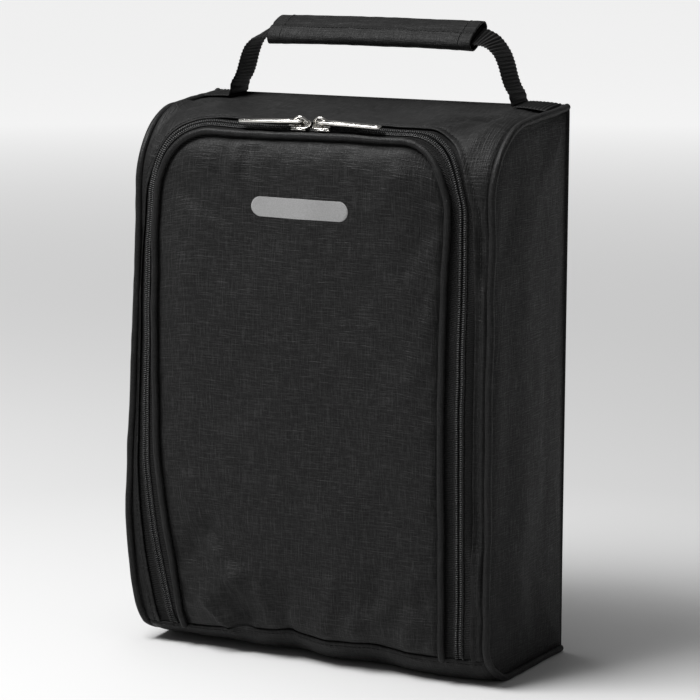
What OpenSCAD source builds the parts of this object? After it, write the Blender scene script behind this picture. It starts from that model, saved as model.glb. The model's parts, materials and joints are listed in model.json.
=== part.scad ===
// Upright shoe bag with a zipped drop-down front, padded panels and a top carry handle.
// Millimetres. X to the right, Y to the back, Z up. The origin is the middle of the footprint,
// on the surface that the bag stands on.

/* [Bag] */
// Width across the back, side piping included
bag_w = 250; // [230:5:270]
// Height of the bag at its back edge, without the handle
bag_h = 334; // [310:2:360]
// Depth from the back to the front face at the side seams
side_d = 98; // [92:1:104]
// Depth from the back to the foot of the front face
toe_d = 105; // [104:1:112]
// How much narrower each side is at the front than at the back
side_taper = 2.5; // [2:0.5:3]
// How far the middle of the front stands proud of the side seams, at shoulder height
crown = 6; // [3:0.5:7]
// Fall of the top face towards the front, in degrees
top_tilt = 4.5; // [3:0.5:6]

/* [Rounded edges] */
// Radius from top to front in the middle of the bag
middle_shoulder_r = 28; // [24:1:32]
// Radius from top to front at the side seams
side_shoulder_r = 45; // [38:1:48]
// Radius from front to base
toe_r = 28; // [24:1:32]
// Half the width over which the front has its middle section
middle_half = 60; // [56:1:62]

/* [Zip] */
// Half the width between the two upright runs of the zip, to the middle of the chain
zip_half = 102.5; // [100:0.5:103]
// Where the top run lies, measured along the surface from the back edge
zip_top_s = 92; // [90:1:94]
// Corner radius of the zip's path
zip_corner = 41; // [38:1:42]
// Width of one side of the zip's tape
tape_w = 13; // [12:0.5:13]
// Distance from the zip's middle to the edge of the cloth around it
reveal = 8.5; // [8:0.5:9]
// Distance from the zip's middle to the middle of the door's piping
door_inset = 10.5; // [10:0.5:12]
// Length of a pull from its pivot to its tip
pull_len = 40; // [34:1:42]

/* [Piping and layers] */
// Radius of the piping in the side seams
side_pipe_r = 2.2; // [1.8:0.1:2.4]
// Radius of the piping around the door
door_pipe_r = 2; // [1.6:0.1:2]
// Thickness of the padded cloth of the shell
cloth_t = 1.6; // [1.2:0.1:1.6]
// Thickness of the foam in the door and the back
foam_t = 3; // [2:0.5:3.5]
// Thickness of the lining
lining_t = 0.5; // [0.4:0.1:0.6]

/* [Handle] */
// Width of the handle's webbing
strap_w = 20; // [18:1:22]
// Thickness of the webbing
strap_t = 1.6; // [1.2:0.1:2]
// Length of the padded grip
grip_len = 140; // [120:5:144]
// Width of the grip's sleeve
grip_w = 26; // [24:1:28]
// Thickness of the grip's sleeve, padding included
grip_t = 10; // [9:0.5:11]
// Height of the middle of the grip over the handle's pivot
grip_rise = 38; // [36:1:42]
// Forward tilt of the grip, in degrees
grip_tilt = 30; // [20:1:32]

/* [Hidden] */
$fn = 32;

gap = 0.1;                 // between flat layers that are sewn together
bend_gap = 0.5;            // between layers that follow the bag's bends
clear = 0.3;               // between pieces that move past each other
gusset_recess = 1.2;       // the side piping stands this far out of the gusset
back_cloth_t = 0.8;
door_cloth_t = 0.7;
base_cloth_t = 1;
board_t = 1.8;
binding_w = 6;
binding_t = 1.6;
tape_t = 0.4;
lining_depth = cloth_t + 2 * bend_gap;
tape_depth = door_pipe_r + clear;
coil_w = 2.5;
coil_gap = 0.5;            // half the gap between the two halves of the chain
coil_rise = 0.3;           // the coil stands this far out of the cloth
door_pipe_depth = 0;       // depth of the middle of the door's piping
hinge_clear = 1;           // from the hinge line to the cloth on either side
hinge_turn = 25;           // where the hinge line lies on the toe, in degrees below level
label_size = [64, 12];
label_height = 277;
label_t = 0.25;

overall_d = toe_d + door_pipe_r - door_pipe_depth;
back_y = overall_d / 2;

strap_back = 12;           // from the bag's back to the middle of the webbing
pivot_rise = 3.5;          // height of the handle's pivot over the top face
leg_x = 96.5;              // where the webbing leaves the top face
leg_slope = 66;            // slope of the handle's legs, in degrees
leg_bend_r = 18;           // bend from a leg into the grip
neck_w = 6;                // width of the webbing at its pivot

slider_x = 7.2;            // each slider's middle, from the middle of the bag
slider_plate = [12, 9, 1.2];
slider_lift = coil_rise + clear;
post_t = 0.5;
floor_plate = [10, 4.5, 1.1];
floor_depth = 3.6;
arch_r = 4.2;
arch_t = 1.4;
arch_w = 2.4;
pull_t = 1.6;
pull_pin_r = 0.7;
pull_pivot_rise = 1.4;     // height of the pull's pivot over the slider's plate
pull_eye = 4.9;            // from the pivot to the end of the gap between the pull's arms
pull_arm_w = 1.2;
pull_tip_r = 4;
pull_slot = [7, 2.2];

// ---- small helpers -----------------------------------------------------------------------------

function mix(a, b, u) = a + (b - a) * u;
function steps(a, b, n) = [for (i = [0:n]) mix(a, b, i / n)];
function smooth(u) = let (c = min(1, max(0, u))) c * c * (3 - 2 * c);
function unit(v) = v / norm(v);
function circle_point(a) = [cos(a), sin(a)];
function reversed(list) = [for (i = [len(list) - 1:-1:0]) list[i]];
function tail(list) = [for (i = [1:len(list) - 1]) list[i]];

// ---- the bag's outer surface -------------------------------------------------------------------
// A section of the bag is a line (the top), an arc (the shoulder), a line (the front), an arc (the
// toe) and a line (the base). A place on the surface is x and s: s is the distance from the back
// edge over the top and down the front, measured on the middle section.

function sideness(x) = smooth((abs(x) - middle_half) / (bag_w / 2 - middle_half));
function shoulder_r(x) = mix(middle_shoulder_r, side_shoulder_r, sideness(x));
function front_t(x) = side_d + crown * (1 - sideness(x));
function toe_centre() = [toe_d - toe_r, toe_r];
function shoulder_centre(x) =
    let (t = front_t(x) - shoulder_r(x))
    [t, bag_h - tan(top_tilt) * t - shoulder_r(x) / cos(top_tilt)];
function front_lean(x) =
    let (v = shoulder_centre(x) - toe_centre())
    atan2(v[1], v[0]) - acos((toe_r - shoulder_r(x)) / norm(v));

// The section's corners, as [distance from the back, height]
function corners(x) =
    let (r = shoulder_r(x), c = shoulder_centre(x), lean = front_lean(x))
    [
        [0, bag_h],
        c + r * circle_point(90 - top_tilt),
        c + r * circle_point(lean),
        toe_centre() + toe_r * circle_point(lean),
        [toe_centre()[0], 0],
        [0, 0]
    ];
middle = corners(0);
shoulder_s = norm(middle[1] - middle[0]);
front_s = shoulder_s + middle_shoulder_r * (90 - top_tilt - front_lean(0)) * PI / 180;
toe_s = front_s + norm(middle[3] - middle[2]);
base_s = toe_s + toe_r * (90 + front_lean(0)) * PI / 180;
end_s = base_s + middle[4][0];
hinge_s = mix(toe_s, base_s, (front_lean(0) + hinge_turn) / (front_lean(0) + 90));

function on_line(a, b, turn, u, depth) = mix(a, b, u) - depth * circle_point(turn);
function on_arc(c, r, a0, a1, u, depth) = c + (r - depth) * circle_point(mix(a0, a1, u));

// A point of the section at x, depth below the surface
function section(x, s, depth) =
    let (k = corners(x), lean = front_lean(x))
    s < shoulder_s ? on_line(k[0], k[1], 90 - top_tilt, s / shoulder_s, depth)
    : s < front_s ? on_arc(shoulder_centre(x), shoulder_r(x), 90 - top_tilt, lean,
                           (s - shoulder_s) / (front_s - shoulder_s), depth)
    : s < toe_s ? on_line(k[2], k[3], lean, (s - front_s) / (toe_s - front_s), depth)
    : s < base_s ? on_arc(toe_centre(), toe_r, lean, -90, (s - toe_s) / (base_s - toe_s), depth)
    : on_line(k[4], k[5], -90, (s - base_s) / (end_s - base_s), depth);
function skin_point(p, depth) =
    let (q = section(p[0], p[1], depth))
    [p[0], back_y - q[0], q[1]];

// Half the bag's width, side piping included, at a distance t from the back
function side_x(t) = bag_w / 2 - side_taper * min(1, t / side_d);
function pipe_x(s) = side_x(section(bag_w / 2, s, 0)[0]) - side_pipe_r;
function panel_x(s) = pipe_x(s) - side_pipe_r - 2 * gap;

// ---- solids made of rows of points -------------------------------------------------------------

// A slab between two grids of points with the same rows and columns
module slab(outer, inner) {
    rows = len(outer);
    cols = len(outer[0]);
    n = rows * cols;
    points = [for (grid = [outer, inner]) for (row = grid) each row];
    function id(layer, i, j) = layer * n + i * cols + j;
    function quad(a, b, c, d) = [[a, b, c], [a, c, d]];
    skin = [
        for (i = [0:rows - 2]) for (j = [0:cols - 2])
            each quad(id(0, i, j), id(0, i, j + 1), id(0, i + 1, j + 1), id(0, i + 1, j))
    ];
    lining = [
        for (i = [0:rows - 2]) for (j = [0:cols - 2])
            each quad(id(1, i + 1, j), id(1, i + 1, j + 1), id(1, i, j + 1), id(1, i, j))
    ];
    ends = [
        for (j = [0:cols - 2]) each concat(
            quad(id(0, 0, j + 1), id(0, 0, j), id(1, 0, j), id(1, 0, j + 1)),
            quad(id(0, rows - 1, j), id(0, rows - 1, j + 1),
                 id(1, rows - 1, j + 1), id(1, rows - 1, j))
        )
    ];
    sides = [
        for (i = [0:rows - 2]) each concat(
            quad(id(0, i + 1, cols - 1), id(0, i, cols - 1),
                 id(1, i, cols - 1), id(1, i + 1, cols - 1)),
            quad(id(0, i, 0), id(0, i + 1, 0), id(1, i + 1, 0), id(1, i, 0))
        )
    ];
    polyhedron(points, concat(skin, lining, ends, sides));
}

// A slab between two depths under the bag's surface, over a grid of [x, s]
module layer(grid, top, bottom) {
    outer = [for (row = grid) [for (p = row) skin_point(p, top)]];
    inner = [for (row = grid) [for (p = row) skin_point(p, bottom)]];
    slab(outer, inner);
}

// A round cord of radius r along a path of [x, s], its middle at a depth under the surface
module cord(path, depth, r, sides = 8) {
    n = len(path);
    centres = [for (p = path) skin_point(p, depth)];
    rings = [
        for (i = [0:n - 1])
            let (
                along = unit(centres[min(i + 1, n - 1)] - centres[max(i - 1, 0)]),
                up = unit(skin_point(path[i], depth - 1) - centres[i]),
                across = cross(along, up)
            )
            [for (k = [0:sides - 1])
                let (a = 360 * k / sides) centres[i] + r * (cos(a) * up + sin(a) * across)]
    ];
    function id(i, k) = i * sides + k % sides;
    walls = [
        for (i = [0:n - 2]) for (k = [0:sides - 1])
            each [[id(i, k), id(i + 1, k), id(i + 1, k + 1)], [id(i, k), id(i + 1, k + 1), id(i, k + 1)]]
    ];
    caps = [[for (k = [0:sides - 1]) id(0, k)], [for (k = [sides - 1:-1:0]) id(n - 1, k)]];
    polyhedron([for (ring = rings) each ring], concat(walls, caps));
}

// ---- the path of the zip -----------------------------------------------------------------------

upright_s = concat(steps(hinge_s - hinge_clear, toe_s, 2), tail(steps(toe_s, zip_top_s + zip_corner, 5)));
corner_x = zip_half - zip_corner;
corner_s = zip_top_s + zip_corner;
back_edge_s = back_cloth_t + 2 * clear;
// The corner's angles: one of them points at the back corner of the bag
back_corner = atan2(corner_s - back_edge_s, panel_x(0) - corner_x);
corner_turns = concat(steps(0, back_corner, 7), tail(steps(back_corner, 90, 5)));
top_x = steps(-corner_x, corner_x, 4);

function mirrored(path) = [for (p = reversed(path)) [-p[0], p[1]]];

// The zip's U, moved outwards by out: up the left side, across the top, down the right side
function left_run(out) = concat(
    [for (s = upright_s) [-zip_half - out, s]],
    [for (a = tail(corner_turns))
        [-corner_x - (zip_corner + out) * cos(a), corner_s - (zip_corner + out) * sin(a)]]
);
function zip_path(out) = concat(
    left_run(out),
    [for (i = [1:len(top_x) - 2]) [top_x[i], zip_top_s - out]],
    mirrored(left_run(out))
);

// The edge of the shell's front and top cloth that matches the U point by point
function edge_point(a) =
    let (
        to_side = (panel_x(corner_s) - corner_x) / max(cos(a), 0.001),
        to_back = (corner_s - back_edge_s) / max(sin(a), 0.001),
        reach = min(to_side, to_back),
        s = corner_s - reach * sin(a)
    )
    a <= back_corner ? [-panel_x(s), max(s, back_edge_s)] : [-corner_x - reach * cos(a), back_edge_s];
left_edge = concat(
    [for (s = upright_s) [-panel_x(s), s]],
    [for (a = tail(corner_turns)) edge_point(a)]
);
shell_edge = concat(left_edge, [for (i = [1:len(top_x) - 2]) [top_x[i], back_edge_s]], mirrored(left_edge));

module zip_band(from, to, top, bottom, strips = 1) {
    a = zip_path(min(from, to));
    b = zip_path(max(from, to));
    grid = [for (i = [0:len(a) - 1]) [for (u = steps(0, 1, strips)) mix(a[i], b[i], u)]];
    layer(grid, top, bottom);
}

module surround_layer(inner_out, top, bottom) {
    a = zip_path(inner_out);
    grid = [for (i = [0:len(a) - 1]) [for (u = steps(0, 1, 6)) mix(a[i], shell_edge[i], u)]];
    layer(grid, top, bottom);
}

// The door's outline at a distance in from the zip, as rows from the top down
function door_rows(inset) =
    let (c = zip_corner - inset, half = zip_half - inset, top = zip_top_s + inset)
    concat(
        [for (a = steps(0, 90, 6)) [corner_x + c * sin(a), top + c * (1 - cos(a))]],
        [for (s = tail(reversed(upright_s))) [half, s]]
    );
module door_layer(inset, top, bottom) {
    grid = [for (row = door_rows(inset)) [for (u = steps(-1, 1, 8)) [u * row[0], row[1]]]];
    layer(grid, top, bottom);
}

// ---- shell -------------------------------------------------------------------------------------

module back_plate(half, low, high, from, to) {
    translate([-half, back_y - to, low]) cube([2 * half, to - from, high - low]);
}
back_foam_from = back_cloth_t + gap;
back_foam_to = back_foam_from + foam_t;

module back_panel() {
    color("#2a2a2c") back_plate(bag_w / 2, 0, bag_h, 0, back_cloth_t);
}
inner_half = bag_w / 2 - gusset_recess - cloth_t - lining_t - 1;
module back_foam() {
    color("#d8d4c8") back_plate(inner_half, 5, bag_h - 4, back_foam_from, back_foam_to);
}
module back_lining() {
    color("#3a3a3d") back_plate(inner_half, 5, bag_h - 4, back_foam_to + gap, back_foam_to + gap + lining_t);
}

// The D-shaped side of the right hand, in its own plane: distance from the back, height
gusset_s = concat(
    [0.5, shoulder_s],
    tail(steps(shoulder_s, front_s, 8)),
    steps(toe_s, base_s, 6),
    [end_s - 0.5]
);
gusset_inset = 2 * side_pipe_r + 2 * gap;
module gusset_plate(from, thick, inset, back) {
    outline = [for (s = gusset_s) section(bag_w / 2, s, inset)];
    rim = [for (p = outline) [max(p[0], back), p[1]]];
    translate([bag_w / 2 - from, back_y, 0])
        rotate([0, 0, -atan(side_taper / side_d)])
            rotate([90, 0, -90]) linear_extrude(thick) polygon(rim);
}
module right_gusset() {
    color("#1f1f21") gusset_plate(gusset_recess, cloth_t, gusset_inset, back_cloth_t + gap);
}
module left_gusset() {
    mirror([1, 0, 0]) right_gusset();
}
module right_gusset_lining() {
    color("#3a3a3d")
        gusset_plate(gusset_recess + cloth_t + gap, lining_t, gusset_inset + binding_t,
                     back_foam_to + 2 * gap + lining_t);
}
module left_gusset_lining() {
    mirror([1, 0, 0]) right_gusset_lining();
}

module surround_panel() {
    color("#333335") surround_layer(reveal, 0, cloth_t);
}
module surround_lining() {
    color("#3a3a3d") surround_layer(tape_w + clear, lining_depth, lining_depth + lining_t);
}

module base_layer(from_s, to_s, narrower, top, bottom) {
    rows = from_s < base_s ? concat(steps(from_s, base_s, 6), [to_s]) : [from_s, to_s];
    grid = [for (s = rows) [for (u = steps(-1, 1, 6)) [u * (panel_x(s) - narrower), s]]];
    layer(grid, top, bottom);
}
module base_panel() {
    color("#1f1f21") base_layer(hinge_s + hinge_clear, end_s - back_edge_s, 0, 0, base_cloth_t);
}
board_end_s = end_s - back_foam_to - lining_t - 1;
module base_board() {
    color("#8c8578")
        base_layer(base_s, board_end_s, binding_w + 1, base_cloth_t + gap, base_cloth_t + gap + board_t);
}
module base_lining() {
    over_board = base_cloth_t + board_t + 2 * gap;
    color("#3a3a3d") base_layer(base_s, board_end_s, binding_w + 1, over_board, over_board + lining_t);
}

seam_s = concat(
    [back_edge_s + 0.4, shoulder_s / 2],
    steps(shoulder_s, front_s, 9),
    tail(steps(front_s, toe_s, 3)),
    tail(steps(toe_s, base_s, 8)),
    [mix(base_s, end_s, 0.5), end_s - back_edge_s - 0.4]
);
module right_side_piping() {
    color("#262628") cord([for (s = seam_s) [pipe_x(s), s]], side_pipe_r, side_pipe_r);
}
module left_side_piping() {
    mirror([1, 0, 0]) right_side_piping();
}
module right_seam_binding() {
    deep = lining_depth + lining_t + 2 * bend_gap + 2 * clear;
    inside_s = [for (s = seam_s) if (s > 8 && s < end_s - 8) s];
    grid = [for (s = inside_s) [[panel_x(s) - binding_w, s], [panel_x(s) - 1, s]]];
    color("#111111") layer(grid, deep, deep + binding_t);
}
module left_seam_binding() {
    mirror([1, 0, 0]) right_seam_binding();
}

module outer_zip_tape() {
    color("#0c0c0c") zip_band(coil_gap, tape_w, tape_depth, tape_depth + tape_t, 3);
}
module outer_zip_coil() {
    color("#161616") zip_band(coil_gap, coil_gap + coil_w, -coil_rise, tape_depth - clear);
}

strap_foot_x = leg_x + 2;
module right_strap_foot() {
    color("#101010")
        translate([strap_foot_x, back_y, bag_h])
            rotate([top_tilt, 0, 0])
                translate([0, -strap_back - strap_w / 2, gap])
                    cube([bag_w / 2 - 2.5 - strap_foot_x, strap_w, strap_t]);
}
module left_strap_foot() {
    mirror([1, 0, 0]) right_strap_foot();
}

// ---- door --------------------------------------------------------------------------------------

door_cloth_inset = door_inset + door_pipe_r + 2 * gap;
door_foam_inset = tape_w + 2;
door_foam_top = door_cloth_t + bend_gap;
module door_panel() {
    color("#2f2f31") door_layer(door_cloth_inset, 0, door_cloth_t);
}
module door_foam() {
    color("#d8d4c8") door_layer(door_foam_inset, door_foam_top, door_foam_top + foam_t);
}
module door_lining() {
    under_foam = door_foam_top + foam_t + bend_gap;
    color("#3a3a3d") door_layer(door_foam_inset, under_foam, under_foam + lining_t);
}
module door_piping() {
    color("#262628") cord(zip_path(-door_inset), door_pipe_depth, door_pipe_r);
}
module inner_zip_tape() {
    color("#0c0c0c") zip_band(-coil_gap, -tape_w, tape_depth, tape_depth + tape_t, 3);
}
module inner_zip_coil() {
    color("#161616") zip_band(-coil_gap, -coil_gap - coil_w, -coil_rise, tape_depth - clear);
}

// A blank oblong label with round ends
label_s = front_s + (corners(0)[2][1] - label_height) / cos(front_lean(0));
module door_label() {
    r = label_size[1] / 2;
    straight = label_size[0] / 2 - r;
    rows = [for (a = steps(-80, 80, 8)) [straight + r * cos(a), label_s + r * sin(a)]];
    grid = [for (row = rows) [for (u = steps(-1, 1, 4)) [u * row[0], row[1]]]];
    color("#a9a9ad") layer(grid, -gap - label_t, -gap);
}

// ---- sliders and pulls -------------------------------------------------------------------------

zip_normal = 90 - top_tilt
    - (90 - top_tilt - front_lean(0)) * (zip_top_s - shoulder_s) / (front_s - shoulder_s);
zip_point = skin_point([0, zip_top_s], 0);
// Puts an upright child on the zip's top run, its Z along the surface's normal
module on_zip(x) {
    translate([x, zip_point[1], zip_point[2]]) rotate([90 - zip_normal, 0, 0]) children();
}
plate_top = slider_lift + slider_plate[2];

module slider() {
    tip = slider_plate[1] / 2;
    translate([0, 0, slider_lift]) {
        translate([tip - slider_plate[0] / 2, 0, 0]) cylinder(h = slider_plate[2], r = tip);
        translate([tip - slider_plate[0] / 2, -tip, 0])
            cube([slider_plate[0] - tip, slider_plate[1], slider_plate[2]]);
    }
    translate([-slider_plate[0] / 4, -post_t / 2, -floor_depth - floor_plate[2]])
        cube([slider_plate[0] / 3, post_t, floor_depth + floor_plate[2] + slider_lift + 0.5]);
    translate([-floor_plate[0] / 2, -floor_plate[1], -floor_depth - floor_plate[2]])
        cube([floor_plate[0], floor_plate[1] + post_t / 2, floor_plate[2]]);
    translate([0, 0, plate_top])
        difference() {
            rotate([90, 0, 0]) cylinder(h = arch_w, r = arch_r, center = true);
            rotate([90, 0, 0]) cylinder(h = arch_w + 1, r = arch_r - arch_t, center = true);
            translate([-arch_r - 1, -arch_w, -2 * arch_r - 0.2])
                cube([2 * arch_r + 2, 2 * arch_w, 2 * arch_r]);
        }
}
module right_slider_body() {
    color("#c9c9cc") on_zip(slider_x) slider();
}
module left_slider_body() {
    color("#c9c9cc") on_zip(-slider_x) mirror([1, 0, 0]) slider();
}

// A pull that points along +X, its pivot at the origin
module pull() {
    inner = arch_w / 2 + clear;
    outer = inner + pull_arm_w;
    rotate([90, 0, 0]) cylinder(h = inner + outer, r = pull_pin_r, center = true);
    translate([0, 0, -pull_t / 2]) linear_extrude(pull_t) difference() {
        union() {
            translate([-pull_t / 2, -outer]) square([pull_eye + 1 + pull_t / 2, 2 * outer]);
            polygon([
                [pull_eye, -outer], [pull_len - pull_tip_r, -pull_tip_r],
                [pull_len - pull_tip_r, pull_tip_r], [pull_eye, outer]
            ]);
            translate([pull_len - pull_tip_r, 0]) circle(pull_tip_r);
        }
        translate([-pull_t, -inner]) square([pull_eye + pull_t, 2 * inner]);
        translate([pull_len - pull_tip_r - pull_slot[0], -pull_slot[1] / 2]) square(pull_slot);
    }
}
module on_slider(x) {
    on_zip(x) translate([0, 0, plate_top + pull_pivot_rise]) children();
}
module right_pull() {
    color("#d2d2d4") on_slider(slider_x) pull();
}
module left_pull() {
    color("#d2d2d4") on_slider(-slider_x) mirror([1, 0, 0]) pull();
}

// ---- handle ------------------------------------------------------------------------------------

pivot_z = bag_h - tan(top_tilt) * strap_back + pivot_rise;
leg_rise = grip_rise - leg_bend_r * (1 - cos(leg_slope));
bend_x = leg_x - leg_rise / tan(leg_slope);
bend_end_x = bend_x - leg_bend_r * sin(leg_slope);

// The right half of the handle's middle line, from its pivot to the grip: [x, height, slope]
right_leg = concat(
    [for (h = steps(0, leg_rise, 7)) [leg_x - h / tan(leg_slope), h, leg_slope]],
    [for (a = tail(steps(leg_slope, 0, 6)))
        [bend_end_x + leg_bend_r * sin(a), grip_rise - leg_bend_r * (1 - cos(a)), a]]
);
function neck(h) = mix(neck_w, strap_w, smooth((h - 10) / 18));
function strap_corners(x, h, slope, side) =
    let (
        roll = grip_tilt * (1 - slope / leg_slope),
        along = [-side * cos(slope), 0, sin(slope)],
        flat = [0, cos(roll), 0] + sin(roll) * [side * sin(slope), 0, cos(slope)],
        up = side * cross(flat, along),
        middle = [side * x, back_y - strap_back, pivot_z + h]
    )
    [for (k = [[-1, 1], [1, 1], [1, -1], [-1, -1]])
        middle + k[0] * neck(h) / 2 * flat + k[1] * strap_t / 2 * unit(up)];
strap_rings = concat(
    [for (p = right_leg) strap_corners(p[0], p[1], p[2], 1)],
    [for (p = reversed(right_leg)) strap_corners(p[0], p[1], p[2], -1)]
);
module handle_webbing() {
    n = len(strap_rings);
    function id(i, k) = 4 * i + k % 4;
    walls = [
        for (i = [0:n - 2]) for (k = [0:3])
            each [[id(i, k), id(i, k + 1), id(i + 1, k + 1)], [id(i, k), id(i + 1, k + 1), id(i + 1, k)]]
    ];
    caps = [[3, 2, 1, 0], [for (k = [0:3]) id(n - 1, k)]];
    color("#101010") polyhedron([for (ring = strap_rings) each ring], concat(walls, caps));
}

// A flat bar with round edges along X
module round_bar(length, width, thick) {
    rotate([90, 0, 90]) linear_extrude(length, center = true) {
        square([width - thick, thick], center = true);
        for (side = [-1, 1]) translate([side * (width - thick) / 2, 0]) circle(d = thick);
    }
}
module in_grip() {
    translate([0, back_y - strap_back, pivot_z + grip_rise]) rotate([grip_tilt, 0, 0]) children();
}
sleeve_wall = 1;
grip_span = min(grip_len, 2 * bend_end_x);
module grip_sleeve() {
    color("#3a3a3c") in_grip() difference() {
        round_bar(grip_span, grip_w, grip_t);
        round_bar(grip_span + 1, grip_w - 2 * sleeve_wall, grip_t - 2 * sleeve_wall);
    }
}
module grip_padding() {
    shrink = 2 * (sleeve_wall + gap);
    color("#77736a") in_grip() difference() {
        round_bar(grip_span - 2, grip_w - shrink, grip_t - shrink);
        cube([grip_span, strap_w + 2 * gap, strap_t + 2 * gap], center = true);
    }
}

back_panel();
back_foam();
back_lining();
left_gusset();
right_gusset();
left_gusset_lining();
right_gusset_lining();
surround_panel();
surround_lining();
base_panel();
base_board();
base_lining();
left_side_piping();
right_side_piping();
left_seam_binding();
right_seam_binding();
outer_zip_tape();
outer_zip_coil();
left_strap_foot();
right_strap_foot();
door_panel();
door_foam();
door_lining();
door_piping();
inner_zip_tape();
inner_zip_coil();
door_label();
left_slider_body();
right_slider_body();
left_pull();
right_pull();
handle_webbing();
grip_sleeve();
grip_padding();
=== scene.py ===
import json
import math

import bmesh
import bpy
import numpy as np
from mathutils import Matrix, Vector


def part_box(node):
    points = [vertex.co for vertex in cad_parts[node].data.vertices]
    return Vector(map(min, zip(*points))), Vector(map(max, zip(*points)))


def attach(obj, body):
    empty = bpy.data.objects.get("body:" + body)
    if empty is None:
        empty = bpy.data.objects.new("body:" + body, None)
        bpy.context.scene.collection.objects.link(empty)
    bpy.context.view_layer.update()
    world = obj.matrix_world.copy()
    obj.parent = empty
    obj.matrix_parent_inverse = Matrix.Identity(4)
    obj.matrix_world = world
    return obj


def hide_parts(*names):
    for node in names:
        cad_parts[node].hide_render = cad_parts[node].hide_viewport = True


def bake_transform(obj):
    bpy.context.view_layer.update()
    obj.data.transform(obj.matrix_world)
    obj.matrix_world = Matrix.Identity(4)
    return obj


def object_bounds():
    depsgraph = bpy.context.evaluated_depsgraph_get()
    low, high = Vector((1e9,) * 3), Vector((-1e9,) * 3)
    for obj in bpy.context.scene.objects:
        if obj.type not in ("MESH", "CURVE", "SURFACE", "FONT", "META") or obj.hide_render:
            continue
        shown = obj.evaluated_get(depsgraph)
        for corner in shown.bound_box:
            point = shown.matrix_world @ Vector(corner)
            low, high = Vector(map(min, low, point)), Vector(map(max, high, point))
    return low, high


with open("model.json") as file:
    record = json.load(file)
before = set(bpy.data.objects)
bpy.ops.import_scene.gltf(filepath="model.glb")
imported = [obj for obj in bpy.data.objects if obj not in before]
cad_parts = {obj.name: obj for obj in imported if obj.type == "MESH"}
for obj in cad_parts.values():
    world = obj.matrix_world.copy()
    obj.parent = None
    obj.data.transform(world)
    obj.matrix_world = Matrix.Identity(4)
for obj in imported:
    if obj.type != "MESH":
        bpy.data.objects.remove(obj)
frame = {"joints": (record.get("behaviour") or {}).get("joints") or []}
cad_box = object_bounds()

# Lengths are millimetres until a mesh is made. X right, Y back, Z up, as in the frame.
MM = 0.001
HANDS = ((1, "right"), (-1, "left"))


def node_box(node):
    low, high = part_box(node)
    return np.array(low) / MM, np.array(high) / MM


# ---- sizes from the frame ----
BACK_LOW, BACK_HIGH = node_box("back_panel")
BAG_W = BACK_HIGH[0] - BACK_LOW[0]
BAG_H = BACK_HIGH[2]
BACK_Y = BACK_HIGH[1]
TOE_D = BACK_Y - node_box("base_panel")[0][1]
JOINTS = {joint["name"]: joint for joint in frame["joints"]}
GRIP_LOW, GRIP_HIGH = node_box("grip_sleeve")

# ---- the bag's section, as in the CAD model ----
SIDE_D = 98.0
SIDE_TAPER = 2.5
CROWN = 6.0
TILT = math.radians(4.5)
MIDDLE_R, SIDE_R, TOE_R = 28.0, 45.0, 28.0
MIDDLE_HALF = 60.0
ZIP_HALF, ZIP_TOP, ZIP_CORNER = 102.5, 92.0, 41.0
CORNER_X, CORNER_S = ZIP_HALF - ZIP_CORNER, ZIP_TOP + ZIP_CORNER
REVEAL, DOOR_INSET, TAPE_W = 8.5, 10.5, 13.0
SIDE_PIPE_R, DOOR_PIPE_R = 2.2, 2.0
HINGE_TURN = math.radians(25)


def mix(a, b, u):
    return a + (b - a) * u


def smooth(u):
    u = np.clip(u, 0, 1)
    return u * u * (3 - 2 * u)


def bell(d, width):
    return np.exp(-((d / width) ** 2))


def unit(vectors):
    """The vectors, each scaled to length 1."""
    return vectors / np.linalg.norm(vectors, axis=-1, keepdims=True)


def run_length(line):
    """Distance along a line to each of its points."""
    return np.concatenate([[0], np.cumsum(np.linalg.norm(np.diff(line, axis=0), axis=1))])


def along_run(at, length, values):
    """Each column of values at the distances at."""
    return np.stack([np.interp(at, length, values[:, k]) for k in range(values.shape[1])], -1)


def section_parts(x):
    """The shoulder arc's radius and centre at x, and how far the front below it leans back."""
    sideness = smooth((np.abs(x) - MIDDLE_HALF) / (BAG_W / 2 - MIDDLE_HALF))
    r = mix(MIDDLE_R, SIDE_R, sideness)
    t = SIDE_D + CROWN * (1 - sideness) - r
    z = BAG_H - math.tan(TILT) * t - r / math.cos(TILT)
    vt, vz = t - (TOE_D - TOE_R), z - TOE_R
    lean = np.arctan2(vz, vt) - np.arccos((TOE_R - r) / np.hypot(vt, vz))
    return r, t, z, lean


def section_lengths():
    """Where the section's shoulder, front, toe and base start, and where it ends."""
    def on_arc(t, z, r, turn):
        return np.array([t + r * math.cos(turn), z + r * math.sin(turn)])

    r, t, z, lean = (float(v) for v in section_parts(np.array(0.0)))
    top = math.pi / 2 - TILT
    shoulder = math.hypot(*(on_arc(t, z, r, top) - (0, BAG_H)))
    front = shoulder + r * (top - lean)
    run = on_arc(TOE_D - TOE_R, TOE_R, TOE_R, lean) - on_arc(t, z, r, lean)
    toe = front + np.linalg.norm(run)
    base = toe + TOE_R * (math.pi / 2 + lean)
    return shoulder, front, toe, base, base + TOE_D - TOE_R, lean


SHOULDER_S, FRONT_S, TOE_S, BASE_S, END_S, FRONT_LEAN = section_lengths()
HINGE_S = mix(TOE_S, BASE_S, (FRONT_LEAN + HINGE_TURN) / (FRONT_LEAN + math.pi / 2))


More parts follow.
